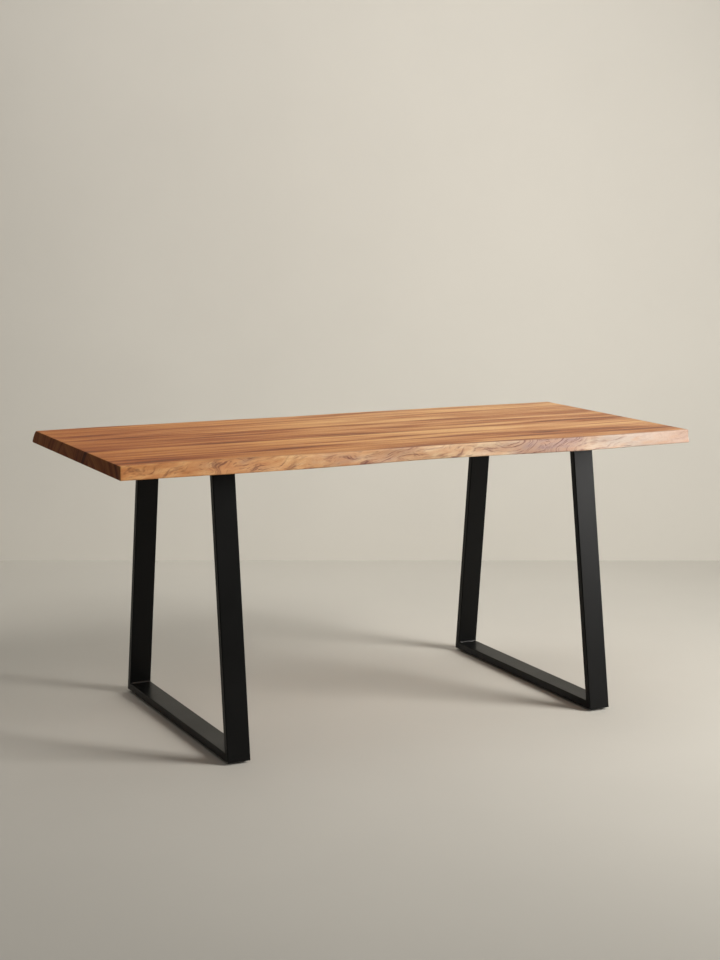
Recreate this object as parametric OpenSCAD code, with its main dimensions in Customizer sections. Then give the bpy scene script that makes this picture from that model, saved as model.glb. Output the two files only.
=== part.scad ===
// Live-edge table: a top glued up from six long wooden staves, bolted to two
// welded steel frames, with a levelling foot near each end of each frame.
// X runs along the top, -Y is the front, Z is up. The origin is on the floor,
// below the middle of the whole table.

/* [Table] */
// Length of the top
top_length = 1600; // [1400:10:1800]
// Thickness of the top
top_thickness = 35; // [30:1:45]
// Height of the upper face above the floor
table_height = 740; // [700:5:780]

/* [Staves] */
// First glue seam, as its place behind the frames' middle line
first_seam = -198; // [-210:1:-160]
// Widths of the four inner staves, front to back
inner_widths = [126, 120, 82, 126]; // [70:1:130]
// Rounding of the cross-cut ends' edges
end_round = 2; // [1:0.5:3]
// Rounding of the live edges' upper and lower corners
live_round = 3; // [1:0.5:5]

/* [Front live edge] */
// Mean reach of the front edge ahead of the frames' middle line
front_reach = 349; // [335:1:380]
// How much further the right end reaches than the mean
front_skew = 24; // [-30:1:30]
// Height of the waves along the front edge
front_wave = 7; // [0:1:14]
// How far the lower corner stands out past the upper one, at the mean
front_lean = 4; // [-5:1:10]
// How much that lean changes along the edge, most at the left
front_twist = 14; // [0:1:20]

/* [Back live edge] */
// Mean reach of the back edge behind the frames' middle line
back_reach = 371; // [345:1:390]
// How much further the right end reaches than the mean
back_skew = -16; // [-30:1:30]
// Height of the waves along the back edge
back_wave = 4; // [0:1:14]
// How far the lower corner stands out past the upper one, at the mean
back_lean = 28; // [0:1:35]

/* [Frames] */
// Distance between the two frames' middle planes
frame_spacing = 1040; // [900:10:1200]
// Width of the tube, along the table
tube_width = 60; // [50:5:80]
// Depth of the tube
tube_depth = 20; // [20:1:30]
// Wall of the tube
tube_wall = 1.5; // [1.5:0.5:2]
// Outer corner radius of the tube
tube_round = 2.5; // [2:0.5:3]
// Half of the frame's width at its foot
foot_half = 370; // [360:1:380]
// Half of the frame's width under the top
head_half = 277; // [270:1:285]
// Leg of the fillet welds
weld_leg = 3.5; // [2:0.5:5]

/* [Mounting plates] */
// Length of a plate, across the table
plate_length = 580; // [575:1:620]
// Width of a plate, along the table
plate_width = 80; // [80:1:100]
// Thickness of a plate
plate_thickness = 5; // [4:1:6]
// Bolt places on each side of the plate's middle
bolt_rows = [100, 230]; // [90:1:235]
// Width of the slots, which let the wood swell across its grain
slot_width = 9; // [8.5:0.5:10]
// Length of the slots
slot_length = 20; // [14:1:24]

/* [Fasteners] */
// Bolt diameter
bolt_d = 8; // [6:1:8]
// Bolt length under its head
bolt_length = 25; // [20:1:26]
// Across the flats of the bolt heads, weld nuts and foot collars
hex_flats = 13; // [12:0.5:14]
// Height of the bolt head
bolt_head = 5.3; // [5:0.1:6]
// Washer outer diameter
washer_d = 24; // [20:1:24]
// Washer thickness
washer_t = 2; // [1.5:0.5:2]
// Outer diameter of the threaded inserts in the wood
insert_d = 12; // [11:1:14]
// Length of the threaded inserts
insert_length = 20; // [18:1:22]

/* [Levelling feet] */
// Gap under the rails with the feet wound right in
foot_gap = 6; // [6:0.5:10]
// Distance of a foot from the frame's middle
foot_place = 335; // [320:1:340]
// Diameter of the pad
pad_d = 30; // [26:1:36]
// Thickness of the pad
pad_t = 4.4; // [4.2:0.1:4.8]
// Weld nut height inside the rail
nut_height = 6.5; // [6:0.5:7]

/* [Hidden] */

$fn = 64;
front = -1;
back = 1;
left = -1;
right = 1;
half_length = top_length / 2;
top_under = table_height - top_thickness;
plate_under = top_under - plate_thickness;
lean = atan((foot_half - head_half) / (top_under - foot_gap));
rail_top = foot_gap + tube_depth;
running_gap = 0.05;
past = 1;
seams = [
    first_seam,
    first_seam + inner_widths[0],
    first_seam + inner_widths[0] + inner_widths[1],
    first_seam + inner_widths[0] + inner_widths[1] + inner_widths[2],
    first_seam + inner_widths[0] + inner_widths[1] + inner_widths[2] + inner_widths[3]
];
bolt_places = [-bolt_rows[1], -bolt_rows[0], bolt_rows[0], bolt_rows[1]];

light_wood = [0.80, 0.55, 0.34];
red_wood = [0.66, 0.37, 0.20];
black_coat = [0.05, 0.05, 0.055];
steel = [0.62, 0.62, 0.64];
brass = [0.80, 0.62, 0.30];
nylon = [0.08, 0.08, 0.08];

// Live edges: how far the wood reaches from the frames' middle line, at a
// place x along the table and a share u of the thickness (1 at the top).
edge_steps = 72;
face_steps = 10;
end_steps = 3;

function wave(x, length, crest) = cos(360 * (x - crest) / length);
function front_edge(x, u) =
    front_reach + front_skew * x / half_length
    + front_wave * (0.8 * wave(x, 2600, 795) - wave(x, 730, -620))
    + (front_lean + front_twist * (0.5 - x / top_length) * wave(x, 1000, -520)) * (1 - u)
    + 2.5 * wave(x, 310, 40) * sin(180 * u);
function back_edge(x, u) =
    back_reach + back_skew * x / half_length
    + back_wave * (wave(x, 900, -560) + 0.5 * wave(x, 390, 130))
    + (back_lean + 4 * wave(x, 1300, -700)) * (1 - pow(u, 1.4))
    + 2 * wave(x, 270, 60) * sin(180 * u);
function edge(side, x, u) = side == front ? front_edge(x, u) : back_edge(x, u);

// Set-back of a rounded corner of radius r at the depth d below its face.
function rounding(d, r) = d >= r ? 0 : r - sqrt(r * r - pow(r - d, 2));
function end_setback(x) = rounding(half_length - abs(x), end_round);
function live_setback(u) = rounding(top_thickness * min(u, 1 - u), live_round);

// Places along the top: close together round each end's corner, then even.
end_half = [for (i = [0:end_steps - 1]) half_length - end_round * (1 - cos(90 * i / end_steps))];
flat_half = half_length - end_round;
stations = concat(
    [for (i = [0:end_steps - 1]) -end_half[i]],
    [for (i = [0:edge_steps]) -flat_half + 2 * flat_half * i / edge_steps],
    [for (i = [end_steps - 1:-1:0]) end_half[i]]
);
shares = [for (k = [0:face_steps]) (1 + cos(180 * k / face_steps)) / 2];

// The frames stand off the middle so that the live-edged top is centred.
front_limit = max([for (x = stations, u = shares) front_edge(x, u) - live_setback(u)]);
back_limit = max([for (x = stations, u = shares) back_edge(x, u) - live_setback(u)]);
frame_y = (front_limit - back_limit) / 2;

function stave_ring(side, x, seam) = let (
    low = top_under + end_setback(x),
    high = table_height - end_setback(x)
) concat(
    [[x, seam, low], [x, seam, high]],
    [for (u = shares) [
        x,
        edge(side, x, u) - live_setback(u) - end_setback(x),
        low + u * (high - low)
    ]]
);

module centred() {
    translate([0, frame_y, 0]) children();
}

// One outer stave, from its glue seam out to its live edge.
module live_stave(side) {
    ring_size = face_steps + 3;
    last = len(stations) - 1;
    seam = side == front ? -seams[0] : seams[len(seams) - 1];
    points = [for (x = stations) each stave_ring(side, x, seam)];
    skin = [for (i = [0:last - 1], k = [0:ring_size - 1]) let (
        a = i * ring_size + k,
        b = i * ring_size + (k + 1) % ring_size
    ) each [[a, b + ring_size, b], [a, a + ring_size, b + ring_size]]];
    caps = [
        [for (k = [0:ring_size - 1]) k],
        [for (k = [ring_size - 1:-1:0]) last * ring_size + k]
    ];
    mirror([0, side == front ? 1 : 0, 0]) polyhedron(points, concat(skin, caps));
}

// A rectangle with rounded corners, centred on the origin.
module rounded_rect(w, h, r) {
    square([w - 2 * r, h], center = true);
    square([w, h - 2 * r], center = true);
    for (x = [-1, 1], y = [-1, 1]) {
        translate([x * (w / 2 - r), y * (h / 2 - r)]) circle(r);
    }
}

module inner_stave(index) {
    width = seams[index] - seams[index - 1];
    translate([0, seams[index], top_under + top_thickness / 2])
        rotate([90, 0, 0])
        linear_extrude(width)
        rounded_rect(top_length, top_thickness, end_round);
}

// Blind holes in the underside for the threaded inserts.
module insert_holes() {
    for (side = [left, right], y = bolt_places) {
        translate([side * frame_spacing / 2, y, top_under - past])
            cylinder(r = insert_d / 2, h = insert_length + 2 + past);
    }
}

module front_live_edge_stave() {
    color(light_wood) centred() difference() {
        live_stave(front);
        insert_holes();
    }
}

module middle_stave(index, tone) {
    color(tone) centred() difference() {
        inner_stave(index);
        insert_holes();
    }
}

module stave_2() { middle_stave(1, light_wood); }
module stave_3() { middle_stave(2, red_wood); }
module stave_4() { middle_stave(3, red_wood); }
module stave_5() { middle_stave(4, light_wood); }

module back_live_edge_stave() {
    color(red_wood) centred() live_stave(back);
}

// Places children at a frame, and at each of its bolts.
module at_frame(side) {
    translate([side * frame_spacing / 2, frame_y, 0]) children();
}

module at_bolts(side) {
    at_frame(side) for (y = bolt_places) {
        translate([0, y, 0]) children();
    }
}

module threaded_inserts(side) {
    color(brass) at_bolts(side) translate([0, 0, top_under + 0.5]) difference() {
        cylinder(r = insert_d / 2, h = insert_length);
        translate([0, 0, -past]) cylinder(r = bolt_d / 2 + running_gap, h = insert_length + 2 * past);
    }
}

module hexagon(height) {
    cylinder(r = hex_flats / 2 / cos(30), h = height, $fn = 6);
}

module bolts(side) {
    head_top = plate_under - washer_t;
    color(steel) at_bolts(side) {
        translate([0, 0, head_top - bolt_head]) hexagon(bolt_head);
        translate([0, 0, head_top]) cylinder(r = bolt_d / 2, h = bolt_length);
    }
}

module washers(side) {
    color(steel) at_bolts(side) translate([0, 0, plate_under - washer_t]) difference() {
        cylinder(r = washer_d / 2, h = washer_t);
        translate([0, 0, -past]) cylinder(r = bolt_d / 2 + 0.2, h = washer_t + 2 * past);
    }
}

// A slot along Y, cut right through the plate.
module slot() {
    run = slot_length - slot_width;
    deep = plate_thickness + 2 * past;
    translate([-slot_width / 2, -run / 2, 0]) cube([slot_width, run, deep]);
    for (end = [-1, 1]) {
        translate([0, end * run / 2, 0]) cylinder(r = slot_width / 2, h = deep);
    }
}

module mounting_plate(side) {
    color(black_coat) at_frame(side) translate([0, 0, plate_under]) difference() {
        linear_extrude(plate_thickness) rounded_rect(plate_width, plate_length, 5);
        for (y = bolt_places) {
            translate([0, y, -past]) slot();
        }
    }
}

// Rectangular tube along Z, with its outer face on the XZ plane.
module tube(length) {
    translate([0, -tube_depth / 2, 0]) linear_extrude(length) difference() {
        rounded_rect(tube_width, tube_depth, tube_round);
        rounded_rect(tube_width - 2 * tube_wall, tube_depth - 2 * tube_wall, tube_round - tube_wall);
    }
}

// Everything on the post's side of the mitre at the frame's foot. The plane
// halves the angle between post and rail.
mitre_angle = (90 - lean) / 2;
room = 2 * table_height;

module post_side_of_mitre() {
    translate([0, foot_half, foot_gap])
        rotate([-mitre_angle, 0, 0])
        translate([-room / 2, -room / 2, 0])
        cube([room, room, room]);
}

module post(side, end) {
    color(black_coat) at_frame(side) mirror([0, end == front ? 1 : 0, 0]) intersection() {
        translate([0, foot_half, foot_gap])
            rotate([lean, 0, 0])
            translate([0, 0, -tube_depth])
            tube(table_height);
        post_side_of_mitre();
        translate([-room / 2, 0, 0]) cube([room, room, plate_under]);
    }
}

module bottom_rail(side) {
    color(black_coat) at_frame(side) difference() {
        translate([0, -foot_half, foot_gap]) rotate([-90, 0, 0]) tube(2 * foot_half);
        post_side_of_mitre();
        mirror([0, 1, 0]) post_side_of_mitre();
        for (end = [front, back]) {
            translate([0, end * foot_place, foot_gap - past]) cylinder(r = bolt_d / 2 + 0.5, h = tube_wall + 2 * past);
        }
    }
}

// Fillet weld: a triangle from a corner, along two faces' directions.
module fillet(corner, along_a, along_b) {
    run = tube_width - 2 * tube_round;
    translate([-run / 2, 0, 0])
        rotate([90, 0, 90])
        linear_extrude(run)
        polygon([corner, corner + weld_leg * along_a, corner + weld_leg * along_b]);
}

// Y of the post's outer and inner faces at the height z.
function outer_face(z) = foot_half - (z - foot_gap) * tan(lean);
function inner_face(z) = outer_face(z) - tube_depth / cos(lean);

module welds(side) {
    up = [-sin(lean), cos(lean)];
    color(steel) at_frame(side) for (end = [0, 1]) {
        mirror([0, end, 0]) {
            fillet([inner_face(rail_top), rail_top], [-1, 0], up);
            fillet([inner_face(plate_under), plate_under], [-1, 0], -up);
            fillet([outer_face(plate_under), plate_under], -up, [1, 0]);
        }
    }
}

module weld_nuts(side) {
    color(steel) at_frame(side) for (end = [front, back]) {
        translate([0, end * foot_place, foot_gap + tube_wall]) difference() {
            hexagon(nut_height);
            translate([0, 0, -past]) cylinder(r = bolt_d / 2 + running_gap, h = nut_height + 2 * past);
        }
    }
}

module at_foot(side, end) {
    at_frame(side) translate([0, end * foot_place, 0]) children();
}

// Pad that stays still while the stud turns in its pocket.
pad_floor = 1.2;
pocket_r = 6.3;
pocket_top = pad_t - 1;
neck_r = 3.7;

module foot_pad(side, end) {
    color(nylon) at_foot(side, end) rotate_extrude() polygon([
        [0, 0],
        [pad_d / 2 - 1.2, 0],
        [pad_d / 2, 1.2],
        [pad_d / 2, pad_t - 1],
        [pad_d / 2 - 1, pad_t],
        [neck_r, pad_t],
        [neck_r, pocket_top],
        [pocket_r, pocket_top],
        [pocket_r, pad_floor],
        [0, pad_floor]
    ]);
}

// Threaded stud: flange in the pad's pocket, hexagonal collar, then shank.
stud_clearance = 0.2;
collar_low = pad_t + 0.1;
collar_high = foot_gap - 0.1;
stud_top = rail_top - tube_wall - 2.5;

module foot_stud(side, end) {
    color(steel) at_foot(side, end) {
        rotate_extrude() polygon([
            [0, pad_floor + stud_clearance],
            [pocket_r - 0.3, pad_floor + stud_clearance],
            [pocket_r - 0.3, pocket_top - stud_clearance],
            [neck_r - stud_clearance, pocket_top - stud_clearance],
            [neck_r - stud_clearance, collar_high - 0.5],
            [bolt_d / 2, collar_high - 0.5],
            [bolt_d / 2, stud_top - 1],
            [bolt_d / 2 - 1, stud_top],
            [0, stud_top]
        ]);
        translate([0, 0, collar_low]) hexagon(collar_high - collar_low);
    }
}

module left_threaded_inserts() { threaded_inserts(left); }
module left_mounting_plate() { mounting_plate(left); }
module left_front_post() { post(left, front); }
module left_back_post() { post(left, back); }
module left_bottom_rail() { bottom_rail(left); }
module left_welds() { welds(left); }
module left_bolts() { bolts(left); }
module left_washers() { washers(left); }
module left_weld_nuts() { weld_nuts(left); }
module right_threaded_inserts() { threaded_inserts(right); }
module right_mounting_plate() { mounting_plate(right); }
module right_front_post() { post(right, front); }
module right_back_post() { post(right, back); }
module right_bottom_rail() { bottom_rail(right); }
module right_welds() { welds(right); }
module right_bolts() { bolts(right); }
module right_washers() { washers(right); }
module right_weld_nuts() { weld_nuts(right); }
module front_left_foot_pad() { foot_pad(left, front); }
module front_left_foot_stud() { foot_stud(left, front); }
module back_left_foot_pad() { foot_pad(left, back); }
module back_left_foot_stud() { foot_stud(left, back); }
module front_right_foot_pad() { foot_pad(right, front); }
module front_right_foot_stud() { foot_stud(right, front); }
module back_right_foot_pad() { foot_pad(right, back); }
module back_right_foot_stud() { foot_stud(right, back); }

front_live_edge_stave();
stave_2();
stave_3();
stave_4();
stave_5();
back_live_edge_stave();
left_threaded_inserts();
left_mounting_plate();
left_front_post();
left_back_post();
left_bottom_rail();
left_welds();
left_bolts();
left_washers();
left_weld_nuts();
right_threaded_inserts();
right_mounting_plate();
right_front_post();
right_back_post();
right_bottom_rail();
right_welds();
right_bolts();
right_washers();
right_weld_nuts();
front_left_foot_pad();
front_left_foot_stud();
back_left_foot_pad();
back_left_foot_stud();
front_right_foot_pad();
front_right_foot_stud();
back_right_foot_pad();
back_right_foot_stud();
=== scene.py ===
"""Looks of the live-edge table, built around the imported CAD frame.

X runs along the top, -Y is the front, Z is up, and every length is in metres.
The inner staves, inserts, plates, posts, rails, washers, weld nuts and pads are
the CAD's own nodes with better materials. The outer staves, weld beads, bolts and
studs are finer pieces that stand for theirs.
"""
import math

import bmesh
import bpy
import numpy as np
from mathutils import Euler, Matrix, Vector, noise


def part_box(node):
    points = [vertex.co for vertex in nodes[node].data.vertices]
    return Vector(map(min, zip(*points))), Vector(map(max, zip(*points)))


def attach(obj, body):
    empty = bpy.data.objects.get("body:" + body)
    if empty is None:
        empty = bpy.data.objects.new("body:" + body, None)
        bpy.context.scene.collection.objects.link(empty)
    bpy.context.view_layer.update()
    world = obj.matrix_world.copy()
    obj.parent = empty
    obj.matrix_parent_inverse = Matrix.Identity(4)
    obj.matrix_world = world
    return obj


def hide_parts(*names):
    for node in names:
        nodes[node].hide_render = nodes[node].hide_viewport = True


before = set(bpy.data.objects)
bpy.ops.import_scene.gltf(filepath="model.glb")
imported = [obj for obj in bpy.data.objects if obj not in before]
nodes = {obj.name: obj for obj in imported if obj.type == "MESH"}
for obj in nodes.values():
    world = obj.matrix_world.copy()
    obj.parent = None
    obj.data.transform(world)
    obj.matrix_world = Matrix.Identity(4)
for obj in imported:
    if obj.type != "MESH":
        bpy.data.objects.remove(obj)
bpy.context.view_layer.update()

FRONT, BACK = -1, 1
SIDES = ("left", "right")
CORNERS = [f"{end}_{side}" for end in ("front", "back") for side in SIDES]
MM = 0.001


# ---------------------------------------------------------------- shader tools
# The Mix node's sockets for colours: its two inputs and its result.
MIX_FIRST, MIX_SECOND, MIX_RESULT = 6, 7, 2


class Shader:
    """One material with a Principled surface. Most methods add a node and return its output."""

    def __init__(self, name):
        self.material = bpy.data.materials.new(name)
        self.material.use_nodes = True
        self.tree = self.material.node_tree
        self.tree.nodes.clear()
        self.output = self.add("ShaderNodeOutputMaterial")
        self.surface = self.add("ShaderNodeBsdfPrincipled")
        self.tree.links.new(self.surface.outputs["BSDF"], self.output.inputs["Surface"])

    def add(self, kind, **settings):
        node = self.tree.nodes.new(kind)
        for key, value in settings.items():
            setattr(node, key, value)
        return node

    def put(self, socket, value):
        """Links another node's output to a socket, or sets the socket to a constant."""
        if isinstance(value, bpy.types.NodeSocket):
            self.tree.links.new(value, socket)
        else:
            socket.default_value = value

    def set(self, **values):
        """Sets or links inputs of the Principled surface; underscores stand for spaces."""
        for key, value in values.items():
            self.put(self.surface.inputs[key.replace("_", " ")], value)

    def place(self):
        """A point's place in object space, in metres."""
        return self.add("ShaderNodeTexCoord").outputs["Object"]

    def facing(self):
        """The way that a surface faces, in object space."""
        return self.add("ShaderNodeTexCoord").outputs["Normal"]

    def split(self, vector):
        node = self.add("ShaderNodeSeparateXYZ")
        self.put(node.inputs[0], vector)
        return node.outputs[0], node.outputs[1], node.outputs[2]

    def join(self, x, y, z):
        node = self.add("ShaderNodeCombineXYZ")
        for socket, value in zip(node.inputs, (x, y, z)):
            self.put(socket, value)
        return node.outputs[0]

    def math(self, operation, *values, clamp=False):
        node = self.add("ShaderNodeMath", operation=operation, use_clamp=clamp)
        for socket, value in zip(node.inputs, values):
            self.put(socket, value)
        return node.outputs[0]

    def total(self, *values):
        result = values[0]
        for value in values[1:]:
            result = self.math("ADD", result, value)
        return result

    def times(self, a, b):
        return self.math("MULTIPLY", a, b)

    def ramp01(self, value, low, high, to_low=0.0, to_high=1.0):
        """A smooth step: to_low below low, to_high above high."""
        node = self.add("ShaderNodeMapRange", interpolation_type="SMOOTHSTEP")
        for key, number in (("Value", value), ("From Min", low), ("From Max", high),
                            ("To Min", to_low), ("To Max", to_high)):
            self.put(node.inputs[key], number)
        return node.outputs["Result"]

    def noise(self, where, scale=1.0, detail=2.0, distortion=0.0):
        """Noise about a half, mostly between 0.25 and 0.75."""
        node = self.add("ShaderNodeTexNoise")
        self.put(node.inputs["Vector"], where)
        for key, value in (("Scale", scale), ("Detail", detail), ("Distortion", distortion)):
            node.inputs[key].default_value = value
        return node.outputs["Fac"]

    def swing(self, where, scale=1.0, detail=2.0):
        """Noise about zero, roughly from -1 to 1."""
        return self.math("MULTIPLY_ADD", self.noise(where, scale, detail), 4.0, -2.0)

    def stretched(self, x, y, z, along, across, seed):
        """A place for noise that is drawn out along the grain; the seed shifts it."""
        return self.join(
            self.math("MULTIPLY_ADD", x, along, seed),
            self.math("MULTIPLY_ADD", y, across, seed * 1.7),
            self.math("MULTIPLY_ADD", z, across, seed * 0.6),
        )

    def layered(self, x, along, seed, layers, offset, detail=2.0):
        """Noise about zero that is drawn out along X and follows layers, such as rings."""
        place = self.join(self.math("MULTIPLY_ADD", x, along, seed), layers, offset)
        return self.swing(place, detail=detail)

    def colours(self, factor, stops):
        """A colour ramp; stops are (place, (r, g, b))."""
        node = self.add("ShaderNodeValToRGB")
        ramp = node.color_ramp
        while len(ramp.elements) < len(stops):
            ramp.elements.new(0.5)
        for element, (place, colour) in zip(ramp.elements, stops):
            element.position = place
            element.color = (*colour, 1.0)
        self.put(node.inputs["Fac"], factor)
        return node.outputs["Color"]

    def blend(self, factor, first, second, mode="MIX"):
        """Mixes two colours, from the first at factor 0 to the second at factor 1."""
        node = self.add("ShaderNodeMix", data_type="RGBA", blend_type=mode)
        self.put(node.inputs["Factor"], factor)
        for socket, value in ((MIX_FIRST, first), (MIX_SECOND, second)):
            if isinstance(value, tuple):
                value = (*value, 1.0)
            self.put(node.inputs[socket], value)
        return node.outputs[MIX_RESULT]

    def stored(self, name):
        """A number kept on the mesh's points."""
        return self.add("ShaderNodeAttribute", attribute_name=name).outputs["Fac"]

    def bump(self, height, distance, strength):
        node = self.add("ShaderNodeBump")
        node.inputs["Strength"].default_value = strength
        node.inputs["Distance"].default_value = distance
        self.put(node.inputs["Height"], height)
        self.put(self.surface.inputs["Normal"], node.outputs["Normal"])


# ------------------------------------------------------------------- materials
PALE_GOLD = (0.800, 0.500, 0.245)
GOLD = (0.640, 0.325, 0.122)
TAN = (0.500, 0.212, 0.074)
RED_BROWN = (0.345, 0.112, 0.036)
DEEP_BROWN = (0.170, 0.058, 0.026)
PURPLE_BROWN = (0.155, 0.060, 0.042)
MAUVE = (0.290, 0.160, 0.122)
SAPWOOD = (0.435, 0.298, 0.198)
# Painted shade inside the drying checks.
CRACK_PAINTED_SHADE = (0.045, 0.022, 0.014)
END_GRAIN_TINT = (0.50, 0.46, 0.50)
BLACK_COAT = (0.0030, 0.0030, 0.0028)
# The weld beads' coat is four times as light as the rest: a painted glint along the welds.
WELD_COAT_PAINTED_GLINT = (0.0120, 0.0120, 0.0112)
COAT_DUST = (0.30, 0.28, 0.25)
BLACK_NYLON = (0.022, 0.022, 0.023)
SCUFFED_NYLON = (0.10, 0.095, 0.09)
PALE_FLOOR = (0.50, 0.480, 0.435)
PALE_WALL = (0.64, 0.615, 0.560)

# Colour ramps from dark to light, for the wood and for the sanded live faces, and
# where on them the wood lies that no mark shifts.
WOOD_RAMP = [(0.0, DEEP_BROWN), (0.28, RED_BROWN), (0.56, TAN), (0.95, GOLD)]
LIVE_FACE_RAMP = [(0.0, RED_BROWN), (0.32, TAN), (0.70, GOLD), (1.0, PALE_GOLD)]
WOOD_MIDDLE = 0.56
LIVE_FACE_MIDDLE = 0.66

# What the wood's colour is multiplied by, from the left end of the top (0) to its
# right end (1): painted shade makes the left darker and warmer, and a painted sheen makes the right
# paler and cooler.
TOP_LENGTH = 1.6
PAINTED_LIGHT_TINTS = [
    (0.0, (0.88, 0.67, 0.45)),
    (0.30, (1.0, 0.97, 0.90)),
    (0.55, (1.0, 1.12, 1.28)),
    (1.0, (0.97, 1.19, 1.54)),
]

# Colour streaks that run through the staves, and a last, wide band of painted shade
# over the far left of the top's back half, placed for the upper face: start and end along X, middle and
# half width along Y, and how much darker (below 0) or more golden (above 0) they are.
STREAKS_AND_PAINTED_SHADE = [
    (-0.80, -0.60, -0.245, 0.020, -0.30),
    (-0.80, -0.62, -0.305, 0.030, -0.22),
    (-0.45, -0.10, -0.232, 0.014, -0.20),
    (-0.55, 0.15, -0.205, 0.016, 0.22),
    (-0.30, -0.12, -0.315, 0.010, 0.22),
    (0.15, 0.40, -0.245, 0.018, -0.16),
    (0.38, 0.47, -0.262, 0.008, -0.34),
    (0.55, 0.80, -0.290, 0.040, -0.26),
    (-0.80, -0.50, -0.100, 0.022, 0.52),
    (-0.52, 0.20, -0.104, 0.013, 0.36),
    (-0.42, -0.24, -0.150, 0.016, 0.18),
    (-0.78, -0.25, -0.070, 0.012, -0.24),
    (-0.52, -0.36, -0.076, 0.008, -0.22),
    (0.50, 0.80, -0.066, 0.020, -0.18),
    (0.30, 0.80, -0.125, 0.045, -0.20),
    (0.00, 0.42, -0.158, 0.009, -0.22),
    (0.28, 0.80, -0.172, 0.012, -0.30),
    (0.45, 0.80, -0.098, 0.010, -0.20),
    (-0.60, 0.10, -0.020, 0.012, 0.10),
    (-0.42, -0.28, 0.085, 0.007, -0.26),
    (-0.24, -0.08, 0.092, 0.009, -0.34),
    (0.14, 0.30, 0.060, 0.014, -0.20),
    (-0.45, 0.70, 0.122, 0.010, 0.24),
    (0.32, 0.48, 0.190, 0.018, -0.18),
    (-0.80, 0.75, 0.322, 0.008, -0.18),
    (-0.24, 0.02, 0.330, 0.008, -0.24),
    (0.35, 0.78, 0.300, 0.012, -0.26),
    (-0.14, -0.05, 0.372, 0.014, -0.40),
    (-0.10, 0.80, 0.345, 0.010, 0.16),
    # Painted shade, not a streak: this band darkens the far left of the top's back half.
    (-0.80, -0.45, 0.200, 0.150, -0.16),
]
# A streak fades in and out over this much of X, or over less where it is short.
STREAK_FADE = 0.16

# The staves' growth rings: their spacing, how far their pith wanders off its line,
# and the height of the finest bumps that the grain makes.
RING_SPACING = 0.0066
PITH_DRIFT = 0.0035
GRAIN_HEIGHT = 0.00022

# Over these stretches of X the ink on the live faces thins out, and they turn redder.
INK_THINS = (0.50, 0.66)
FACE_REDDENS = (0.56, 0.80)


def scaled(colour, factor):
    return tuple(part * factor for part in colour)


def streak_and_painted_shade_marks(s, x, wander, low_y, high_y):
    """How far the streaks, and the band of painted shade, that reach into a stave shift its shade."""
    marks = 0.0
    for start, end, middle, half_width, strength in STREAKS_AND_PAINTED_SHADE:
        if middle + half_width < low_y or middle - half_width > high_y:
            continue
        away = s.math("ABSOLUTE", s.math("SUBTRACT", wander, middle))
        fade = min(STREAK_FADE, (end - start) * 0.45)
        beside = s.ramp01(away, half_width * 1.5, 0.0)
        begun = s.ramp01(x, start - fade / 3, start + fade)
        unfinished = s.ramp01(x, end + fade / 3, end - fade)
        mark = s.times(s.times(beside, begun), unfinished)
        marks = s.total(marks, s.times(mark, strength))
    return marks


def live_face(s, x, y, z, seed, fibre):
    """Colour of a live face, and the curls of ink that follow its rings.

    The ring numbers, the stain and the share of sapwood are stored on the mesh.
    """
    rings = s.stored("rings")
    stain = s.stored("stain")
    stroke = s.layered(x, 20.0, seed, s.times(rings, 1.15), 2.0, detail=3.0)
    hair = s.layered(x, 75.0, seed, s.times(rings, 4.2), 6.0)
    curl = s.ramp01(s.total(stroke, s.times(hair, 0.55)), -0.05, 0.80)
    slanted = s.total(x, s.times(z, -1.6))
    cloud = s.swing(s.stretched(slanted, y, z, 22.0, 75.0, seed + 9.0), detail=4.0)
    patch = s.swing(s.stretched(x, y, z, 8.0, 24.0, seed + 2.0), detail=2.0)
    patch = s.ramp01(patch, -0.4, 0.7)

    shade = s.total(LIVE_FACE_MIDDLE, s.times(cloud, 0.50), s.times(hair, 0.14), s.times(fibre, 0.05))
    heartwood = s.colours(shade, LIVE_FACE_RAMP)
    sapwood = s.blend(s.ramp01(cloud, 0.3, -1.2, 0.0, 0.4), SAPWOOD, TAN)
    ground = s.blend(s.stored("sapwood"), heartwood, sapwood)
    ground = s.blend(s.ramp01(x, *FACE_REDDENS, 0.0, 0.34), ground, RED_BROWN)
    stained = s.times(stain, s.ramp01(cloud, -0.9, 0.9, 0.40, 0.92))
    ground = s.blend(stained, ground, MAUVE)

    ink = s.math("MULTIPLY_ADD", stain, 0.85, s.math("MULTIPLY_ADD", patch, 0.60, 0.26), clamp=True)
    ink = s.times(ink, s.ramp01(x, *INK_THINS, 1.0, 0.45))
    return s.blend(s.times(curl, ink), ground, PURPLE_BROWN), curl


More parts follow.
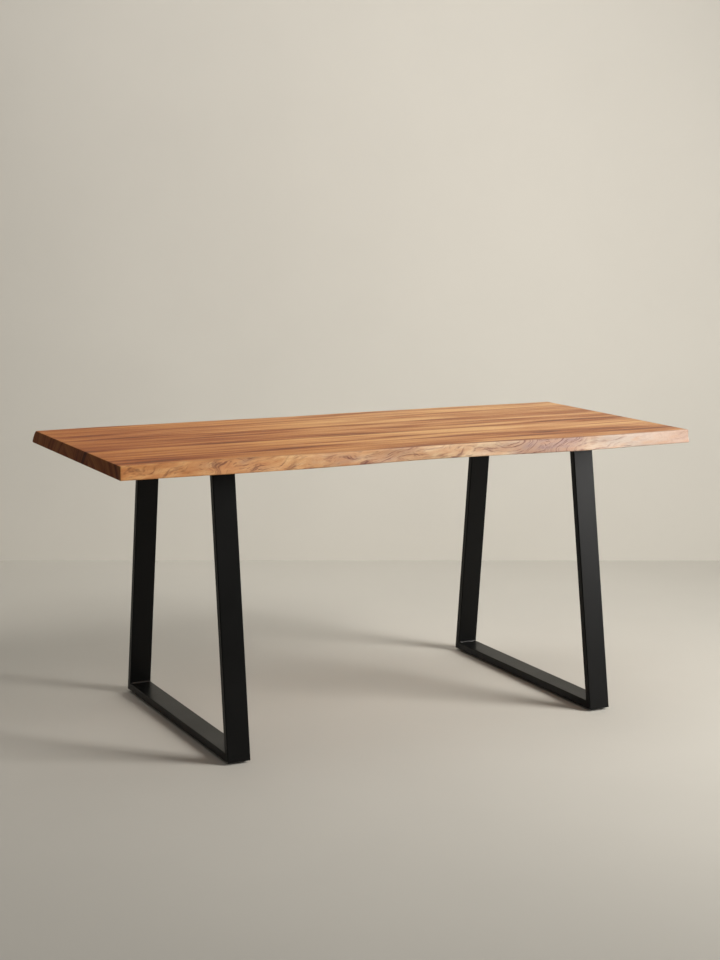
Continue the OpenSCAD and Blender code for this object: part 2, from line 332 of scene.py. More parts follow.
def wood(name, node, seed, pith, tone, live=False):
    """Oiled hardwood, grown round a pith that runs along X.

    pith is where the tree's heart lies from the stave's middle, as (y, z); tone
    shifts the whole stave from red-brown (below 0) to gold (above 0).
    """
    s = Shader(name)
    low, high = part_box(node)
    x, y, z = s.split(s.place())
    drift = s.swing(s.stretched(x, y, z, 1.1, 6.0, seed), detail=1.0)
    heart_y = (low.y + high.y) / 2 + pith[0]
    heart_z = (low.z + high.z) / 2 + pith[1]
    across = s.math("SUBTRACT", y, s.math("MULTIPLY_ADD", drift, PITH_DRIFT, heart_y))
    up = s.math("SUBTRACT", z, heart_z)
    radius = s.math("SQRT", s.total(s.times(across, across), s.times(up, up)))

    # Broad bands down to fine lines follow the rings; fibres and pores run along X.
    band = s.layered(x, 1.5, seed, s.times(radius, 24.0), seed)
    narrow = s.layered(x, 3.2, seed, s.times(radius, 60.0), 1.3)
    streak = s.layered(x, 4.5, seed, s.times(radius, 170.0), 3.1)
    line = s.layered(x, 7.0, seed, s.times(radius, 680.0), 5.3, detail=3.0)
    fibre = s.swing(s.stretched(x, y, z, 28.0, 1500.0, seed), detail=2.0)
    pore = s.noise(s.stretched(x, y, z, 70.0, 2100.0, seed + 4.0), detail=1.0)
    pores = s.ramp01(pore, 0.63, 0.72)

    # Late wood darkens slowly towards the end of each ring and stops sharply there.
    growth = s.total(s.times(radius, 1 / RING_SPACING), s.times(band, 0.6), s.times(streak, 0.25))
    ring = s.math("FRACT", growth)
    late = s.times(s.ramp01(ring, 0.55, 0.96), s.ramp01(ring, 1.0, 0.965))

    wander = s.total(y, s.times(drift, 0.004), s.times(narrow, 0.0035), s.times(streak, 0.0012))
    shade = s.total(
        WOOD_MIDDLE + tone,
        streak_and_painted_shade_marks(s, x, wander, low.y, high.y),
        s.times(band, 0.34),
        s.times(narrow, 0.40),
        s.times(streak, 0.20),
        s.times(line, 0.055),
        s.times(fibre, 0.035),
        s.times(late, -0.14),
    )
    colour = s.colours(shade, WOOD_RAMP)
    height = s.total(s.times(fibre, 0.25), s.times(line, 0.3), s.times(pores, -1.0))

    if live:
        skin = s.stored("skin")
        face_colour, curl = live_face(s, x, y, z, seed, fibre)
        colour = s.blend(skin, colour, face_colour)
        # Painted shade darkens the drying checks, most of all in their middle.
        colour = s.blend(s.stored("crack"), colour, CRACK_PAINTED_SHADE)
        height = s.total(height, s.times(s.times(curl, skin), -0.8))

    # Painted light along the top: shade darkens the left end and sheen pales the right end.
    painted_light_lengthwise = s.colours(s.math("MULTIPLY_ADD", x, 1 / TOP_LENGTH, 0.5), PAINTED_LIGHT_TINTS)
    colour = s.blend(1.0, colour, painted_light_lengthwise, "MULTIPLY")
    nx, _, _ = s.split(s.facing())
    end_grain = s.ramp01(s.math("ABSOLUTE", nx), 0.55, 0.85)
    end_colour = s.blend(1.0, colour, END_GRAIN_TINT, "MULTIPLY")
    end_colour = s.blend(s.times(pores, 0.5), end_colour, DEEP_BROWN)
    colour = s.blend(s.times(pores, 0.35), colour, DEEP_BROWN)
    colour = s.blend(end_grain, colour, end_colour)

    s.set(Base_Color=colour, IOR=1.46, Specular_IOR_Level=0.22)
    s.set(Roughness=s.total(0.58, s.times(line, 0.03), s.times(pores, 0.12), s.times(end_grain, 0.16)))
    s.bump(height, distance=GRAIN_HEIGHT, strength=0.6)
    return s.material


def powder_coat(name, base, peel_height, gloss=0.12, roughness=0.35):
    """Fine-textured black powder coat: orange peel, fine speckle and a little dust on top."""
    s = Shader(name)
    place = s.place()
    peel = s.swing(place, scale=420.0, detail=2.0)
    speckle = s.swing(place, scale=1900.0, detail=1.0)
    cloud = s.swing(place, scale=9.0, detail=4.0)
    _, _, nz = s.split(s.facing())
    dust = s.times(s.ramp01(nz, 0.6, 1.0), s.ramp01(cloud, -0.6, 1.4, 0.0, 0.006))
    shade = s.total(0.5, s.times(cloud, 0.12), s.times(speckle, 0.10))
    colour = s.colours(shade, [(0.0, scaled(base, 0.75)), (1.0, scaled(base, 1.30))])
    colour = s.blend(dust, colour, COAT_DUST)
    s.set(Base_Color=colour, IOR=1.5, Specular_IOR_Level=gloss)
    s.set(Roughness=s.total(roughness, s.times(cloud, 0.03), s.times(speckle, 0.03), s.times(dust, 0.8)))
    s.bump(s.total(s.times(peel, 0.7), s.times(speckle, 0.3)), distance=peel_height, strength=0.5)
    return s.material


def plated_metal(name, dark, light, roughness):
    """Bright plated or turned metal with fine tool marks and uneven dulling."""
    s = Shader(name)
    place = s.place()
    x, y, z = s.split(place)
    marks = s.swing(s.join(s.times(x, 300.0), s.times(y, 300.0), s.times(z, 5200.0)), detail=2.0)
    cloud = s.swing(place, scale=140.0, detail=4.0)
    shade = s.total(0.5, s.times(cloud, 0.22), s.times(marks, 0.05))
    colour = s.colours(shade, [(0.1, dark), (0.9, light)])
    s.set(Base_Color=colour, Metallic=1.0)
    s.set(Roughness=s.total(roughness, s.times(cloud, 0.07), s.times(marks, 0.03)))
    s.bump(marks, distance=0.00003, strength=0.5)
    return s.material


def moulded_nylon(name):
    """Matt black moulded plastic with a fine spark-eroded texture and scuffs."""
    s = Shader(name)
    place = s.place()
    texture = s.swing(place, scale=1500.0, detail=2.0)
    scuff = s.ramp01(s.noise(place, scale=130.0, detail=4.0, distortion=1.5), 0.60, 0.75)
    colour = s.blend(s.times(scuff, 0.25), BLACK_NYLON, SCUFFED_NYLON)
    s.set(Base_Color=colour, IOR=1.53)
    s.set(Roughness=s.total(0.52, s.times(texture, 0.05), s.times(scuff, 0.15)))
    s.bump(texture, distance=0.00005, strength=0.5)
    return s.material


def plain_surface(name, colour, roughness, mottle):
    """The pale floor or the pale wall, with the faintest mottling; returns its shader."""
    s = Shader(name)
    cloud = s.swing(s.place(), scale=1.6, detail=5.0)
    stops = [(0.0, scaled(colour, 1 - mottle)), (1.0, scaled(colour, 1 + mottle))]
    s.set(Base_Color=s.colours(s.math("MULTIPLY_ADD", cloud, 0.3, 0.5), stops))
    s.set(Roughness=roughness)
    return s


def dress(node, material):
    """Gives a CAD node its material, in every slot it has."""
    for material_slot in nodes[node].material_slots:
        material_slot.material = material


# ----------------------------------------------------------------- mesh tools
def new_piece(name, points, faces, material, sharp_degrees=35):
    """A smooth-shaded object whose edges stay sharp where they turn by sharp_degrees."""
    mesh = bpy.data.meshes.new(name)
    mesh.from_pydata([tuple(p) for p in points], [], faces)
    mesh.validate()
    build = bmesh.new()
    build.from_mesh(mesh)
    bmesh.ops.recalc_face_normals(build, faces=build.faces)
    build.to_mesh(mesh)
    build.free()
    mesh.shade_smooth()
    mesh.set_sharp_from_angle(angle=math.radians(sharp_degrees))
    mesh.materials.append(material)
    piece = bpy.data.objects.new(name, mesh)
    bpy.context.scene.collection.objects.link(piece)
    return piece


def stand_in(piece, body, node):
    """The piece rides on a body and is shown in place of a CAD node."""
    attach(piece, body)
    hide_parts(node)


def ring_faces(rings, columns, start):
    """Quads between closed rings of points that are held one after another."""
    faces = []
    for ring in range(rings - 1):
        a = start + ring * columns
        b = a + columns
        for column in range(columns):
            after = (column + 1) % columns
            faces.append((a + column, a + after, b + after, b + column))
    return faces


def smooth_sample(values, places):
    """Catmull-Rom through evenly spaced rows of values, at fractional row places."""
    last = len(values) - 1
    base = np.clip(np.floor(places).astype(int), 0, last - 1)
    t = (places - base)[:, None]
    before = np.clip(base - 1, 0, last)
    after = np.clip(base + 2, 0, last)
    p0, p1, p2, p3 = values[before], values[base], values[base + 1], values[after]
    square = 2 * p0 - 5 * p1 + 4 * p2 - p3
    cube = 3 * p1 - p0 - 3 * p2 + p3
    return 0.5 * (2 * p1 + (p2 - p0) * t + square * t**2 + cube * t**3)


# ------------------------------------------------------------ live-edge staves
# The CAD's live face is read from its outermost strip. Its first and last three
# stations round the stave's end corners and are kept; the others are refined to
# about FINE_X apart. Each station's rows become FACE_FINE times as fine.
LIVE_STRIP = 0.085
END_STATIONS = 3
FINE_X = 0.0030
FACE_FINE = 4

# Depths of the layers of points behind the live face; the last layer is the seam.
INWARD = (0.0, 0.0008, 0.002, 0.004, 0.008, 0.014, 0.022, 0.034, 0.055, 0.09)

# The sanded skin's own colour holds to the first depth and is gone this much deeper.
SKIN_DEPTH = 0.0005
SKIN_FADE = 0.009
CRACK_DEPTH = 1.3 * MM

# The figure of a live face: rings a metre up it and along it, how many more along it
# where the figure is calm, and the depth that one ring takes inwards.
RINGS_UP = 105.0
RINGS_ALONG = 9.0
RINGS_ALONG_CALM = 16.0
RING_DEPTH = 0.0045

# The figure is calm left of the first place, and grows to its wildest over the next
# stretch; the share says how wild the calm part is. Where it is wildest, its rings are
# pushed about by up to so much along X and up Z.
CALM_UNTIL = -0.62
CALM_FADE = 0.30
CALM_WILDNESS = 0.35
WARP_ALONG = 0.020
WARP_UP = 0.0065

# Knots slant by this much X per height, and their stain spreads a bit wider than they
# do. A fan of FULL_FAN rings has this stain, over this share of its length each way.
KNOT_SLANT = 1.1
KNOT_STAIN_SPREAD = 1.6
FULL_FAN = 8.0
FAN_STAIN = 0.70
FAN_STAIN_REACH = 0.42

# Share of sapwood in the front's live face: at its left end, and stretches of X, as
# start and length, over which it grows by so much; and the back's share of that.
SAPWOOD_LEFT = 0.42
SAPWOOD_GROWS = ((-0.25, 0.50, 0.16), (0.40, 0.16, 0.42))
SAPWOOD_BACK = 0.4

# Drying checks, in shares of the thickness: how far they wave, and their half width.
CHECK_WAVE = 0.02
CHECK_HALF_WIDTH = 0.030

# Knots and curls in the live faces: place along X, height as a share of the
# thickness, half width and half height, how strongly the rings bend, and how
# dark the stain round them is.
FRONT_KNOTS = [
    (-0.735, 0.50, 0.022, 0.008, 0.5, 0.15),
    (-0.585, 0.70, 0.026, 0.010, -0.6, 0.40),
    (-0.486, 0.80, 0.014, 0.007, 0.7, 0.75),
    (-0.452, 0.22, 0.030, 0.006, -0.6, 0.45),
    (-0.318, 0.50, 0.016, 0.008, 0.9, 0.35),
    (-0.240, 0.38, 0.036, 0.010, -1.5, 0.70),
    (-0.262, 0.85, 0.024, 0.006, 0.9, 0.45),
    (-0.190, 0.60, 0.022, 0.006, 0.8, 0.45),
    (0.175, 0.45, 0.026, 0.010, -1.2, 0.35),
    (0.240, 0.65, 0.024, 0.011, 1.3, 0.60),
    (0.322, 0.60, 0.030, 0.016, -1.6, 1.00),
    (0.385, 0.45, 0.046, 0.018, 0.0, 0.95),
    (0.535, 0.70, 0.026, 0.008, 0.8, 0.22),
]
BACK_KNOTS = [
    (-0.610, 0.50, 0.030, 0.010, -1.5, 0.60),
    (-0.180, 0.70, 0.022, 0.009, 1.1, 0.45),
    (0.090, 0.35, 0.034, 0.011, -1.8, 0.90),
    (0.400, 0.60, 0.024, 0.009, 1.1, 0.55),
    (0.690, 0.40, 0.020, 0.008, -1.0, 0.40),
]
# Fans, where the rings stand steeply across the face: start and end along X,
# number of rings, slant (X per height), bow.
FRONT_FANS = [
    (-0.170, -0.020, -8.0, 2.2, 0.0),
    (0.262, 0.330, -7.0, 0.6, -40.0),
    (0.340, 0.455, -15.0, 0.9, 30.0),
]
BACK_FANS = [
    (-0.360, -0.250, 6.0, -1.6, 0.0),
    (0.200, 0.310, -7.0, 0.9, 40.0),
]

# Drying checks near the faces' corners: start and end along X, height as a share.
FRONT_CHECKS = [
    (-0.392, -0.352, 0.10),
    (-0.455, -0.432, 0.16),
    (0.120, 0.142, 0.12),
    (0.585, 0.612, 0.14),
]
BACK_CHECKS = [
    (-0.520, -0.480, 0.85),
    (0.310, 0.345, 0.14),
]


def soft_step(value):
    """A smooth step from 0 to 1 as the value goes from 0 to 1."""
    value = min(1.0, max(0.0, value))
    return value * value * (3 - 2 * value)


def wave(x, height, along, up, seed):
    """Smooth noise, from about -1 to 1; along and up say how fast it changes."""
    return noise.noise(Vector((x * along, height * up, seed)))


def face_figure(x, share, thickness, seed, knots, fans):
    """Ring number and stain at a place on a live face."""
    z = share * thickness
    wild = CALM_WILDNESS + (1 - CALM_WILDNESS) * soft_step((x - CALM_UNTIL) / CALM_FADE)
    warp_x = WARP_ALONG * wild * wave(x, z, 17.0, 48.0, seed + 11)
    warp_z = WARP_UP * wild * wave(x, z, 23.0, 55.0, seed + 17)
    x += warp_x
    z += warp_z
    rings = 3.0 * wave(x, z, 7.5, 18.0, seed)
    rings += 0.8 * wave(x, z, 24.0, 45.0, seed + 5)
    rings += RINGS_UP * z - (RINGS_ALONG + RINGS_ALONG_CALM * (1 - wild)) * x
    stain = 0.0
    for knot_x, knot_share, half_x, half_z, bend, dark in knots:
        above = z - knot_share * thickness
        far = ((x - knot_x - KNOT_SLANT * above) / half_x) ** 2 + (above / half_z) ** 2
        rings += bend * math.exp(-far)
        stain += dark * math.exp(-far / KNOT_STAIN_SPREAD)
    for start, end, count, slant, bow in fans:
        above = z - thickness / 2
        along = (x - slant * above - bow * above**2 - start) / (end - start)
        rings += count * soft_step(along)
        weight = min(1.2, abs(count) / FULL_FAN)
        stain += FAN_STAIN * math.exp(-(((along - 0.5) / FAN_STAIN_REACH) ** 2)) * weight
    return rings, min(1.0, stain)


def face_ripple(x, share, seed):
    """How far the sanded live face lies inside the CAD's, never negative."""
    long_swell = 0.5 + 0.5 * wave(x, share, 14.0, 1.6, seed)
    short_swell = 0.5 + 0.5 * wave(x, share, 52.0, 3.5, seed + 3)
    scrape = 0.5 + 0.5 * wave(x, share, 160.0, 9.0, seed + 7)
    # The shares of each, in millimetres.
    return (0.12 + 0.75 * long_swell + 0.35 * short_swell + 0.10 * scrape) * MM


def check_depth(x, share, checks):
    """1 in the middle of a drying check and 0 off it."""
    deepest = 0.0
    for start, end, height in checks:
        along = (x - start) / (end - start)
        if 0 < along < 1:
            middle = height + CHECK_WAVE * math.sin(9 * along)
            half_width = CHECK_HALF_WIDTH * math.sin(math.pi * along) ** 0.6
            deepest = max(deepest, 1 - abs(share - middle) / max(half_width, 1e-6))
    return max(0.0, deepest)


def sapwood_share(x, side):
    """How pale a live face is: the front's grows paler to the right."""
    pale = SAPWOOD_LEFT
    for start, length, more in SAPWOOD_GROWS:
        pale += more * soft_step((x - start) / length)
    return pale if side == FRONT else SAPWOOD_BACK * pale


def cad_live_face(node, side):
    """The CAD's own live face: stations along X, and for each one rows of (y, z)."""
    points = np.array([v.co for v in nodes[node].data.vertices], float)
    low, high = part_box(node)
    reach = high.y if side == BACK else -low.y
    outer = points[side * points[:, 1] > reach - LIVE_STRIP]
    outer = np.unique(np.round(outer, 6), axis=0)
    stations = np.unique(outer[:, 0])
    faces = []
    for station in stations:
        ring = outer[outer[:, 0] == station]
        faces.append(ring[np.argsort(ring[:, 2])][:, 1:])
    return stations, np.array(faces)


def fine_stations(stations, faces):
    """The live face with its stations refined, as places along X and rows of (y, z)."""
    rows = faces.shape[1]
    flat = faces.reshape(len(stations), rows * 2)
    inner = np.arange(END_STATIONS, len(stations) - END_STATIONS)
    gap = stations[inner[1]] - stations[inner[0]]
    count = (len(inner) - 1) * max(1, round(gap / FINE_X)) + 1
    places = np.linspace(0, len(inner) - 1, count)
    middle = smooth_sample(flat[inner], places)
    middle_x = np.interp(places, np.arange(len(inner)), stations[inner])
    profile = np.concatenate([flat[:END_STATIONS], middle, flat[-END_STATIONS:]])
    xs = np.concatenate([stations[:END_STATIONS], middle_x, stations[-END_STATIONS:]])
    return xs, profile.reshape(-1, rows, 2)


def shell_quads(stations, layers, columns):
    """Quads round a block of points held station by station, layer by layer."""

    def at(station, layer, k):
        return (station * layers + layer) * columns + k

    quads = []
    last = stations - 1
    seam = layers - 1
    for i in range(last):
        j = i + 1
        for k in range(columns - 1):
            quads.append((at(i, 0, k), at(j, 0, k), at(j, 0, k + 1), at(i, 0, k + 1)))
            quads.append((at(i, seam, k), at(i, seam, k + 1), at(j, seam, k + 1), at(j, seam, k)))
        for m in range(seam):
            for k in (0, columns - 1):
                quads.append((at(i, m, k), at(i, m + 1, k), at(j, m + 1, k), at(j, m, k)))
    for i in (0, last):
        for m in range(seam):
            for k in range(columns - 1):
                quads.append((at(i, m, k), at(i, m + 1, k), at(i, m + 1, k + 1), at(i, m, k + 1)))
    return quads


def live_stave(name, node, side, seed, knots, fans, checks, material):
    """An outer stave with a finely rippled live edge, from the CAD's stations."""
    xs, profile = fine_stations(*cad_live_face(node, side))
    low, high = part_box(node)
    thickness = high.z - low.z
    seam = high.y if side == FRONT else low.y
    rows = profile.shape[1]
    row_places = np.linspace(0, rows - 1, (rows - 1) * FACE_FINE + 1)
    columns = len(row_places)
    layers = len(INWARD) + 1
    points = []
    stored = {"skin": [], "rings": [], "stain": [], "crack": [], "sapwood": []}
    for x, coarse in zip(xs, profile):
        face = smooth_sample(coarse, row_places)
        face[:, 1] = np.clip(face[:, 1], coarse[0, 1], coarse[-1, 1])
        shares = (face[:, 1] - low.z) / thickness
        live_y = np.empty(columns)
        tags = []
        for k in range(columns):
            crack = check_depth(x, shares[k], checks)
            inward = face_ripple(x, shares[k], seed) + CRACK_DEPTH * crack
            live_y[k] = face[k, 0] - side * inward
            rings, stain = face_figure(x, shares[k], thickness, seed, knots, fans)
            tags.append((rings, stain, crack))
        for layer in range(layers):
            at_seam = layer == layers - 1
            # At the seam any depth well past the skin will do.
            depth = abs(seam) if at_seam else INWARD[layer]
            for k in range(columns):
                y = seam if at_seam else live_y[k] - side * depth
                rings, stain, crack = tags[k]
                points.append((x, y, face[k, 1]))
                stored["skin"].append(1 - soft_step((depth - SKIN_DEPTH) / SKIN_FADE))
                stored["rings"].append(rings + depth / RING_DEPTH)
                stored["stain"].append(stain)
                stored["crack"].append(crack if layer == 0 else 0.0)
                stored["sapwood"].append(sapwood_share(x, side))

    # Points inside the block belong to no quad, and are left out.
    quads = shell_quads(len(xs), layers, columns)
    used = sorted({index for quad in quads for index in quad})
    renumber = {old: new for new, old in enumerate(used)}
    quads = [tuple(renumber[index] for index in quad) for quad in quads]
    piece = new_piece(name, [points[i] for i in used], quads, material)
    for key, values in stored.items():
        attribute = piece.data.attributes.new(key, "FLOAT", "POINT")
        attribute.data.foreach_set("value", np.array([values[i] for i in used], np.float32))
    stand_in(piece, "table", node)


# ------------------------------------------------------- fasteners and welding
LATHE_POINTS = 72

# M8 threads: pitch, depth, how steep a groove's sides are, and how many millimetres
# the last millimetre narrows by.
M8_PITCH = 1.25 * MM
M8_DEPTH = 0.62 * MM
GROOVE_STEEPNESS = 2.5
TIP_TAPER = 0.9

# Foot studs: their flange's eased edge, and how much thinner than the thread the neck is.
STUD_EASE = 0.2 * MM
NECK_UNDERCUT = 0.5 * MM

# Hexagon heads: how their lower corners are turned off, and the washer face under
# them, with sizes across as shares of the width across the flats.
CHAMFER_STEPS = (0.0, 0.15, 0.3, 0.45, 0.6, 0.8, 1.0)
CHAMFER_FALL = 0.62 * MM
CHAMFER_SLOPE = math.tan(math.radians(30))
CHAMFER_START = 0.955
WASHER_FACE_SHARE = 0.93
WASHER_FACE_HEIGHT = 0.4 * MM

# Weld beads: their ripple along X, points for each ripple and round each section, and
# the share of their size that is left at their ends.
BEAD_RIPPLE = 1.9 * MM
BEAD_STEPS = 8
BEAD_ARC = 9
BEAD_END = 0.35

# CAD points this near to a level, or to the farthest reach, count as on it.
NEAR = 1e-5


def hex_radius(angle, flats):
    """From a hexagon's middle to its side, for its width across the flats."""
    turned = (angle + math.pi / 6) % (math.pi / 3) - math.pi / 6
    return flats / 2 / math.cos(turned)


def lathe(points, faces, rings, middle):
    """Adds a closed solid to points and faces, from rings of (height, radius function)."""
    start = len(points)
    for height, radius in rings:
        for i in range(LATHE_POINTS):
            angle = 2 * math.pi * i / LATHE_POINTS
            r = radius(angle)
            points.append((middle[0] + r * math.cos(angle), middle[1] + r * math.sin(angle), height))
    faces.extend(ring_faces(len(rings), LATHE_POINTS, start))
    faces.append(tuple(start + i for i in range(LATHE_POINTS))[::-1])
    top = start + (len(rings) - 1) * LATHE_POINTS
    faces.append(tuple(top + i for i in range(LATHE_POINTS)))


def chamfered_hex(points, faces, middle, flats, low, high, washer_face=False):
    """Adds a hexagonal head, its lower corners turned off at 30 degrees."""
    rings = []
    for step in CHAMFER_STEPS:
        limit = flats / 2 * CHAMFER_START + step * CHAMFER_FALL / CHAMFER_SLOPE
        rings.append((low + step * CHAMFER_FALL, lambda a, cap=limit: min(hex_radius(a, flats), cap)))
    body_top = high - (WASHER_FACE_HEIGHT if washer_face else 0.0)
    rings.append((body_top, lambda a: hex_radius(a, flats)))
    if washer_face:
        rings.append((body_top, lambda a: flats / 2 * WASHER_FACE_SHARE))
        rings.append((high, lambda a: flats / 2 * WASHER_FACE_SHARE))
    lathe(points, faces, rings, middle)


def threaded_shank(points, faces, middle, radius, low, high, per_pitch=7):
    """Adds a shank with a real helical thread, its last millimetre tapered.

    per_pitch is how many rings of points make one turn of the thread.
    """
    count = max(2, round((high - low) / M8_PITCH * per_pitch))
    rings = []
    for i in range(count + 1):
        height = low + (high - low) * i / count
        tip = min(1.0, (high - height) / MM)

        def profile(angle, height=height, tip=tip):
            turn = (height / M8_PITCH - angle / (2 * math.pi)) % 1.0
            groove = 1 - min(1.0, abs(turn - 0.5) * GROOVE_STEEPNESS)
            return radius - M8_DEPTH * groove - (1 - tip) * TIP_TAPER * MM

        rings.append((height, profile))
    lathe(points, faces, rings, middle)


def islands(node):
    """The points of each separate solid of a CAD node, ordered by Y then Z."""
    build = bmesh.new()
    build.from_mesh(nodes[node].data)
    bmesh.ops.remove_doubles(build, verts=build.verts, dist=1e-6)
    build.verts.ensure_lookup_table()
    left = set(range(len(build.verts)))
    found = []
    while left:
        queue = [left.pop()]
        group = []
        while queue:
            vertex = build.verts[queue.pop()]
            group.append(vertex.co.copy())
            for edge in vertex.link_edges:
                other = edge.other_vert(vertex).index
                if other in left:
                    left.discard(other)
                    queue.append(other)
        found.append(np.array(group))
    build.free()
    return sorted(found, key=lambda g: (round(g[:, 1].mean(), 3), round(g[:, 2].mean(), 3)))


def bolts(side, material):
    """Hexagon bolts with threaded shanks, in place of the CAD's plain ones."""
    node = f"{side}_bolts"
    points = []
    faces = []
    for solid in islands(node):
        low, high = solid.min(0), solid.max(0)
        middle = ((low[0] + high[0]) / 2, (low[1] + high[1]) / 2)
        radius = solid[solid[:, 2] > high[2] - NEAR, 0].max() - middle[0]
        flats = min(high[0] - low[0], high[1] - low[1])
        under_head = solid[np.abs(solid[:, 0] - low[0]) < NEAR, 2].max()
        chamfered_hex(points, faces, middle, flats, low[2], under_head, washer_face=True)
        threaded_shank(points, faces, middle, radius, under_head, high[2], per_pitch=5)
    piece = new_piece(f"{side}_hex_bolts", points, faces, material)
    stand_in(piece, "table", node)


def foot_stud(corner, material):
    """Levelling stud: flange, neck, hexagonal collar and a real thread."""
    node = f"{corner}_foot_stud"
    solid = np.array([v.co for v in nodes[node].data.vertices], float)
    low, high = solid.min(0), solid.max(0)
    middle = ((low[0] + high[0]) / 2, (low[1] + high[1]) / 2)
    levels = np.unique(np.round(solid[:, 2], 5))
    radial = np.hypot(solid[:, 0] - middle[0], solid[:, 1] - middle[1])

    def reach(level):
        return radial[np.abs(solid[:, 2] - level) < 2 * NEAR].max()

    flange_low, flange_high = levels[0], levels[1]
    corner_reach = radial.max()
    collar = [level for level in levels if reach(level) > corner_reach - NEAR]
    flats = corner_reach * 2 * math.cos(math.pi / 6)
    shank = reach(high[2] - MM)
    neck = shank - NECK_UNDERCUT
    flange = reach(flange_low)
    rings = [
        (flange_low, lambda a: flange - STUD_EASE),
        (flange_low + STUD_EASE, lambda a: flange),
        (flange_high, lambda a: flange),
        (flange_high, lambda a: neck),
        (collar[0], lambda a: neck),
    ]
    points = []
    faces = []
    lathe(points, faces, rings, middle)
    chamfered_hex(points, faces, middle, flats, collar[0], collar[-1])
    threaded_shank(points, faces, middle, shank, collar[-1] - STUD_EASE, high[2])
    piece = new_piece(f"{corner}_threaded_stud", points, faces, material)
    stand_in(piece, f"{corner}_stud", node)


def weld_beads(side, material):
    """Rippled fillet beads in place of the CAD's triangular ones."""
    node = f"{side}_welds"
    columns = BEAD_ARC + 1
    points = []
    faces = []
    for index, solid in enumerate(islands(node)):
        section = np.unique(np.round(solid[:, 1:], 6), axis=0)
        spans = [np.linalg.norm(section[i - 1] - section[i - 2]) for i in range(3)]
        root = section[int(np.argmax(spans))]
        toes = [p for p in section if not np.allclose(p, root)]
        x_low, x_high = solid[:, 0].min(), solid[:, 0].max()
        steps = int((x_high - x_low) / BEAD_RIPPLE * BEAD_STEPS)
        start = len(points)
        for i in range(steps + 1):
            along = i / steps
            x = x_low + (x_high - x_low) * along
            taper = min(1.0, BEAD_END + 14 * min(along, 1 - along))
            for k in range(BEAD_ARC):
                turn = k / (BEAD_ARC - 1)
                chord = toes[0] * (1 - turn) + toes[1] * turn
                bow = 4 * turn * (1 - turn)
                phase = 2 * math.pi * (x / BEAD_RIPPLE + 0.45 * bow) + index
                swell = 0.90 + 0.05 * math.cos(phase) + 0.06 * bow
                swell += 0.04 * noise.noise(Vector((x * 150, k * 0.2, index)))
                y, z = root + (chord - root) * swell * taper
                points.append((x, y, z))
            points.append((x, *root))
        faces += ring_faces(steps + 1, columns, start)
        faces.append(tuple(start + k for k in range(columns))[::-1])
        faces.append(tuple(start + steps * columns + k for k in range(columns)))
    piece = new_piece(f"{side}_weld_beads", points, faces, material, sharp_degrees=60)
    stand_in(piece, "table", node)


# --------------------------------------------------------------- the table top
INNER_STAVES = {
    "stave_2": {"seed": 21.3, "pith": (0.21, -0.30), "tone": 0.06},
    "stave_3": {"seed": 34.9, "pith": (-0.26, -0.22), "tone": -0.10},
    "stave_4": {"seed": 47.1, "pith": (0.18, -0.25), "tone": -0.03},
    "stave_5": {"seed": 58.6, "pith": (-0.24, -0.28), "tone": 0.09},
}
for stave, look in INNER_STAVES.items():
    dress(stave, wood(f"{stave}_wood", stave, **look))

front_wood = wood(
    "front_stave_wood", "front_live_edge_stave", seed=11.7, pith=(0.33, -0.18), tone=-0.07, live=True
)
back_wood = wood(
    "back_stave_wood", "back_live_edge_stave", seed=72.4, pith=(-0.36, -0.20), tone=0.04, live=True
)
live_stave(
    "front_live_edge_wood", "front_live_edge_stave", FRONT, seed=3.0,
    knots=FRONT_KNOTS, fans=FRONT_FANS, checks=FRONT_CHECKS, material=front_wood,
)
live_stave(
    "back_live_edge_wood", "back_live_edge_stave", BACK, seed=8.0,
    knots=BACK_KNOTS, fans=BACK_FANS, checks=BACK_CHECKS, material=back_wood,
)


# ------------------------------------------------------------ frames and feet
black = powder_coat("black_powder_coat_fine", BLACK_COAT, peel_height=0.00006)
# The weld beads get a lighter coat, a painted glint, besides their real gloss.
glinting_weld_coat = powder_coat(
    "powder_coat_painted_glint_on_weld", WELD_COAT_PAINTED_GLINT, peel_height=0.00004, gloss=0.50, roughness=0.26
)
zinc = plated_metal("bright_zinc", (0.46, 0.47, 0.49), (0.68, 0.69, 0.71), 0.30)
brass = plated_metal("turned_brass", (0.62, 0.43, 0.17), (0.82, 0.62, 0.30), 0.26)
nylon = moulded_nylon("black_nylon")
for side in SIDES:
    for part in ("mounting_plate", "front_post", "back_post", "bottom_rail"):
        dress(f"{side}_{part}", black)
    for part in ("washers", "weld_nuts"):
        dress(f"{side}_{part}", zinc)
    dress(f"{side}_threaded_inserts", brass)
    bolts(side, zinc)
    weld_beads(side, glinting_weld_coat)
for corner in CORNERS:
    dress(f"{corner}_foot_pad", nylon)
    foot_stud(corner, zinc)


# ------------------------------------------------------------- stage and light
# The photograph's view, from a camera fitted to the straight edges of the table.
CAMERA_PLACE = Vector((-2.1967, -4.4668, 1.4035))
CAMERA_YAW = math.radians(26.16)
CAMERA_PITCH = math.radians(3.575)
CAMERA_LENS = 69.21
CAMERA_SHIFT = -0.1875
WALL_DISTANCE = 6.83
WALL_HALF_WIDTH = 9.0
WALL_HEIGHT = 6.0
FLOOR_HALF = 30.0

# The world's strength as a light, and as what the camera sees past the room.
WORLD_LIGHT = 0.18
WORLD_SEEN = 0.55
WORLD_COLOUR = (1.0, 0.965, 0.91, 1.0)

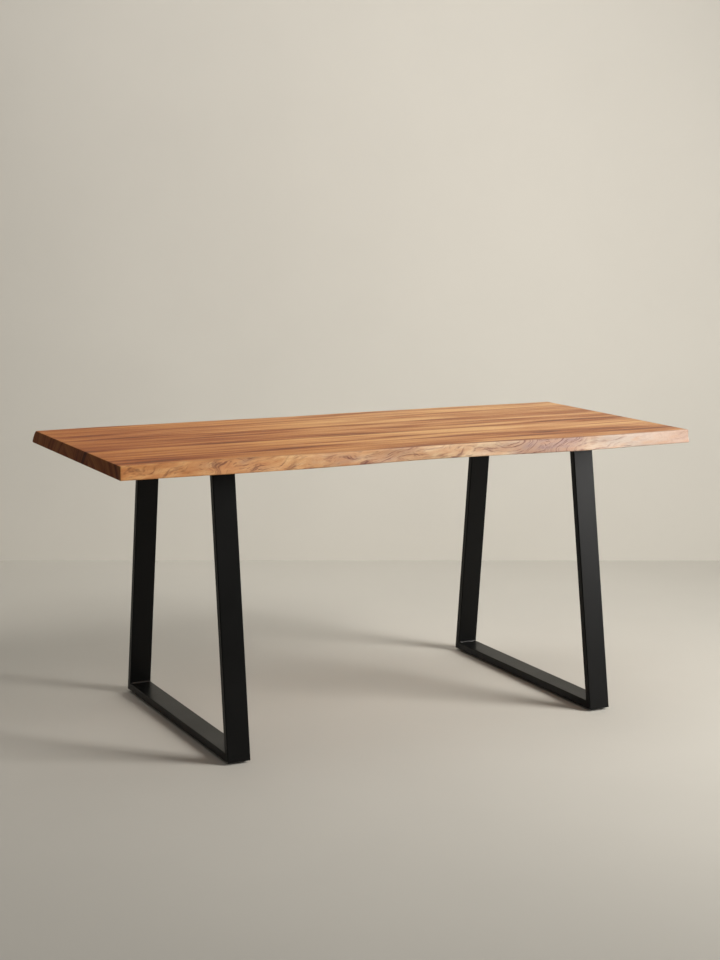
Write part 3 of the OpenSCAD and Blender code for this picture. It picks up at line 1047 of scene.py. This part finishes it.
# Area lights: name, place, what it points at, size, watts, colour and spread in degrees.
LIGHTS = [
    ("key", (2.30, -2.25, 2.40), (0.15, 0.0, 0.6), (1.3, 1.9), 56, (1.0, 0.975, 0.93), 105),
    ("side", (2.75, -3.10, 1.10), (0.6, -0.3, 0.8), (1.1, 1.1), 19, (1.0, 0.98, 0.95), 100),
    ("overhead", (0.5, 1.0, 4.2), (0.5, 0.7, 0.0), (5.0, 3.0), 36, (1.0, 0.985, 0.95), 180),
    ("backdrop", (0.42, 0.86, 3.2), (0.75, 1.55, 0.80), (3.4, 0.5), 9, (1.0, 0.985, 0.95), 95),
    ("fill", (-1.6, -5.2, 3.4), (0.2, 2.0, 0.9), (2.4, 2.0), 27, (1.0, 0.985, 0.96), 180),
    ("behind", (1.8, 4.6, 3.0), (0.2, 0.0, 0.5), (3.0, 2.0), 28, (1.0, 0.985, 0.96), 120),
]


def staged_plane(name, corners, material):
    mesh = bpy.data.meshes.new(name)
    mesh.from_pydata([tuple(c) for c in corners], [], [(0, 1, 2, 3)])
    mesh.materials.append(material)
    plane = bpy.data.objects.new(name, mesh)
    bpy.context.scene.collection.objects.link(plane)


def one_sided(shader):
    """Lets a surface be seen through from behind, for views from the far side or below."""
    behind = shader.add("ShaderNodeNewGeometry").outputs["Backfacing"]
    clear = shader.add("ShaderNodeBsdfTransparent").outputs["BSDF"]
    mix = shader.add("ShaderNodeMixShader")
    shader.put(mix.inputs[0], behind)
    shader.put(mix.inputs[1], shader.surface.outputs["BSDF"])
    shader.put(mix.inputs[2], clear)
    shader.put(shader.output.inputs["Surface"], mix.outputs[0])


def room():
    """A floor, and a wall that stands square to the camera's view."""
    ahead = Vector((math.sin(CAMERA_YAW), math.cos(CAMERA_YAW), 0.0))
    across = Vector((ahead.y, -ahead.x, 0.0))
    floor = plain_surface("pale_floor", PALE_FLOOR, roughness=0.85, mottle=0.04)
    one_sided(floor)
    r = FLOOR_HALF
    staged_plane("floor", [(-r, -r, 0), (r, -r, 0), (r, r, 0), (-r, r, 0)], floor.material)
    wall = plain_surface("pale_wall", PALE_WALL, roughness=0.9, mottle=0.04)
    one_sided(wall)
    foot = Vector((CAMERA_PLACE.x, CAMERA_PLACE.y, 0.0)) + ahead * WALL_DISTANCE
    up = Vector((0.0, 0.0, WALL_HEIGHT))
    half = across * WALL_HALF_WIDTH
    staged_plane("wall", [foot - half, foot + half, foot + half + up, foot - half + up], wall.material)


def area_light(name, place, target, size, power, colour, spread):
    light = bpy.data.lights.new(name, "AREA")
    light.shape = "RECTANGLE"
    light.size, light.size_y = size
    light.energy = power
    light.color = colour
    light.spread = math.radians(spread)
    lamp = bpy.data.objects.new(name, light)
    lamp.location = place
    lamp.rotation_euler = (Vector(target) - Vector(place)).to_track_quat("-Z", "Y").to_euler()
    bpy.context.scene.collection.objects.link(lamp)


def world_light():
    """An even glow, dimmer as a light than as what the camera sees of it."""
    world = bpy.data.worlds.new("soft_studio")
    world.use_nodes = True
    tree = world.node_tree
    background = tree.nodes["Background"]
    background.inputs["Color"].default_value = WORLD_COLOUR
    seen = tree.nodes.new("ShaderNodeLightPath").outputs["Is Camera Ray"]
    strength = tree.nodes.new("ShaderNodeMapRange")
    strength.inputs["To Min"].default_value = WORLD_LIGHT
    strength.inputs["To Max"].default_value = WORLD_SEEN
    tree.links.new(seen, strength.inputs["Value"])
    tree.links.new(strength.outputs["Result"], background.inputs["Strength"])
    bpy.context.scene.world = world


def camera():
    """The photograph's view."""
    data = bpy.data.cameras.new("photo_view")
    data.sensor_width = 36.0
    data.lens = CAMERA_LENS
    data.shift_y = CAMERA_SHIFT
    data.clip_end = 100.0
    view = bpy.data.objects.new("photo_view", data)
    view.location = CAMERA_PLACE
    view.rotation_euler = Euler((math.pi / 2 - CAMERA_PITCH, 0.0, -CAMERA_YAW))
    bpy.context.scene.collection.objects.link(view)
    bpy.context.scene.camera = view


room()
for light in LIGHTS:
    area_light(*light)
world_light()
camera()
bpy.context.scene.view_settings.view_transform = "Standard"
